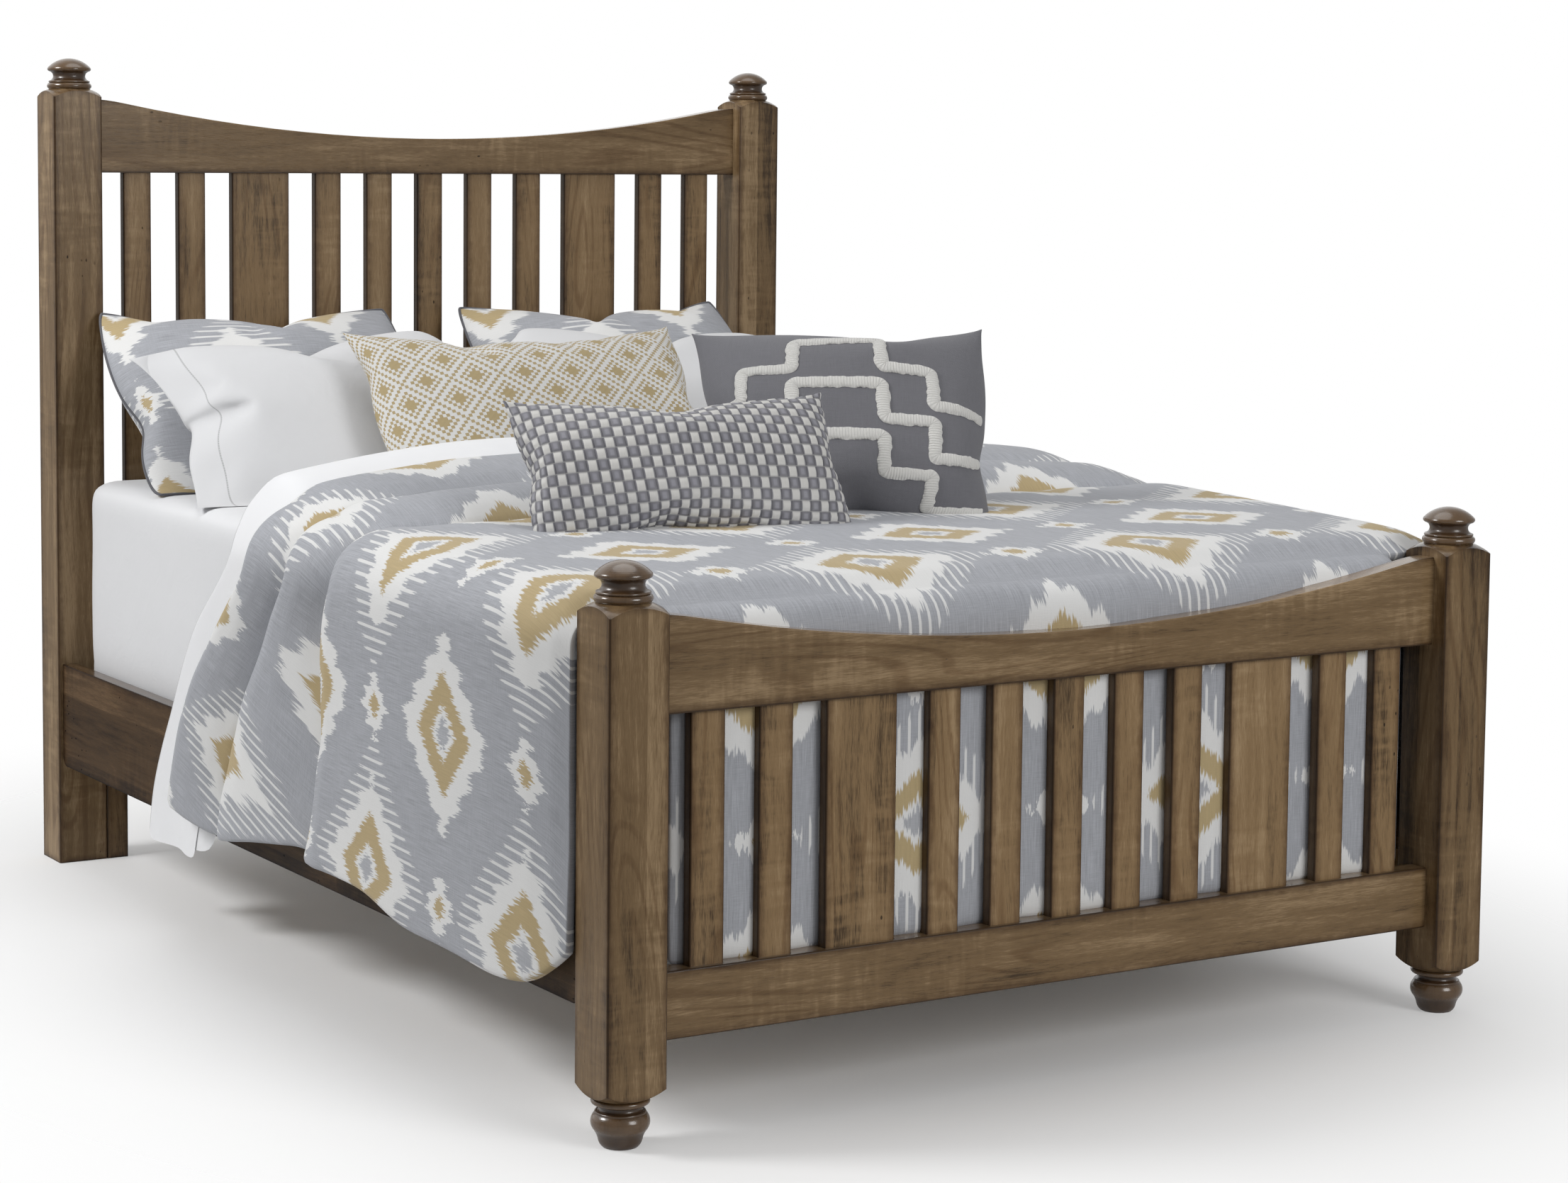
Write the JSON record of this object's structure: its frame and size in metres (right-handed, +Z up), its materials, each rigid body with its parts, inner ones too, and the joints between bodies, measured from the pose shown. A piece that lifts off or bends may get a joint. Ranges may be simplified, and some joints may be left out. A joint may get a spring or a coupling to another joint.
{
  "type": "poster bed",
  "caption": "Queen size wooden poster bed with scooped, slatted head and foot boards, turned finials and bun feet, dressed with mattress, duvet, pillows and cushions.",
  "frame": {"origin": "on the floor, under the middle of the bed", "axes": "+X to the right seen from the foot, +Y towards the headboard, +Z up"},
  "size_m": [1.6888, 2.242, 1.5322],
  "materials": {
    "stained_maple": "satin",
    "plain_wood": "matte",
    "steel": "satin",
    "black_plastic": "matte",
    "white_cotton": "matte",
    "ticking": "matte",
    "ikat_cotton": "matte",
    "diamond_weave": "matte",
    "grey_linen": "matte",
    "ribbon_weave": "matte"
  },
  "bodies": {
    "bed": {"box_spring": "ticking", "bun_foot_left": "stained_maple", "bun_foot_right": "stained_maple", "centre_legs": "plain_wood", "cross_slats": "plain_wood", "duvet": "ikat_cotton", "flat_sheet": "white_cotton", "footboard_bottom_rail": "stained_maple", "footboard_finial_left": "stained_maple", "footboard_finial_right": "stained_maple", "footboard_post_left": "stained_maple", "footboard_post_right": "stained_maple", "footboard_slat_01": "stained_maple", "footboard_slat_02": "stained_maple", "footboard_slat_03": "stained_maple", "footboard_slat_04": "stained_maple", "footboard_slat_05": "stained_maple", "footboard_slat_06": "stained_maple", "footboard_slat_07": "stained_maple", "footboard_slat_08": "stained_maple", "footboard_slat_09": "stained_maple", "footboard_slat_10": "stained_maple", "footboard_slat_11": "stained_maple", "footboard_top_rail": "stained_maple", "headboard_bottom_rail": "stained_maple", "headboard_finial_left": "stained_maple", "headboard_finial_right": "stained_maple", "headboard_post_left": "stained_maple", "headboard_post_right": "stained_maple", "headboard_slat_01": "stained_maple", "headboard_slat_02": "stained_maple", "headboard_slat_03": "stained_maple", "headboard_slat_04": "stained_maple", "headboard_slat_05": "stained_maple", "headboard_slat_06": "stained_maple", "headboard_slat_07": "stained_maple", "headboard_slat_08": "stained_maple", "headboard_slat_09": "stained_maple", "headboard_slat_10": "stained_maple", "headboard_slat_11": "stained_maple", "headboard_top_rail": "stained_maple", "leg_block_left": "stained_maple", "leg_block_right": "stained_maple", "mattress": "white_cotton", "post_catch_plates": "steel", "rail_hook_plates": "steel", "side_ledgers": "plain_wood", "side_rail_left": "stained_maple", "side_rail_right": "stained_maple"},
    "levelling_glide_1": {"levelling_glide_1": "black_plastic"},
    "levelling_glide_2": {"levelling_glide_2": "black_plastic"},
    "levelling_glide_3": {"levelling_glide_3": "black_plastic"},
    "shams": {"sham_left": "ikat_cotton", "sham_right": "ikat_cotton"},
    "sleeping_pillows": {"pillow_left": "white_cotton", "pillow_right": "white_cotton"},
    "diamond_cushion": {"diamond_cushion": "diamond_weave"},
    "grey_cushion": {"grey_cushion": "grey_linen"},
    "lumbar_cushion": {"lumbar_cushion": "ribbon_weave"}
  },
  "joints": [
    {"name": "levelling_glide_1_screw", "type": "slide", "parent": "bed", "child": "levelling_glide_1", "axis": [0, 0, 1], "range_m": [0, 0.015]},
    {"name": "levelling_glide_2_screw", "type": "slide", "parent": "bed", "child": "levelling_glide_2", "axis": [0, 0, 1], "range_m": [0, 0.015]},
    {"name": "levelling_glide_3_screw", "type": "slide", "parent": "bed", "child": "levelling_glide_3", "axis": [0, 0, 1], "range_m": [0, 0.015]},
    {"name": "shams_lift", "type": "slide", "parent": "bed", "child": "shams", "axis": [0, 0, 1], "range_m": [0, 0.2]},
    {"name": "sleeping_pillows_lift", "type": "slide", "parent": "shams", "child": "sleeping_pillows", "axis": [0, 0, 1], "range_m": [0, 0.2]},
    {"name": "diamond_cushion_lift", "type": "slide", "parent": "sleeping_pillows", "child": "diamond_cushion", "axis": [0, 0, 1], "range_m": [0, 0.2]},
    {"name": "grey_cushion_lift", "type": "slide", "parent": "diamond_cushion", "child": "grey_cushion", "axis": [0, 0, 1], "range_m": [0, 0.2]},
    {"name": "lumbar_cushion_lift", "type": "slide", "parent": "grey_cushion", "child": "lumbar_cushion", "axis": [0, 0, 1], "range_m": [0, 0.2]}
  ]
}
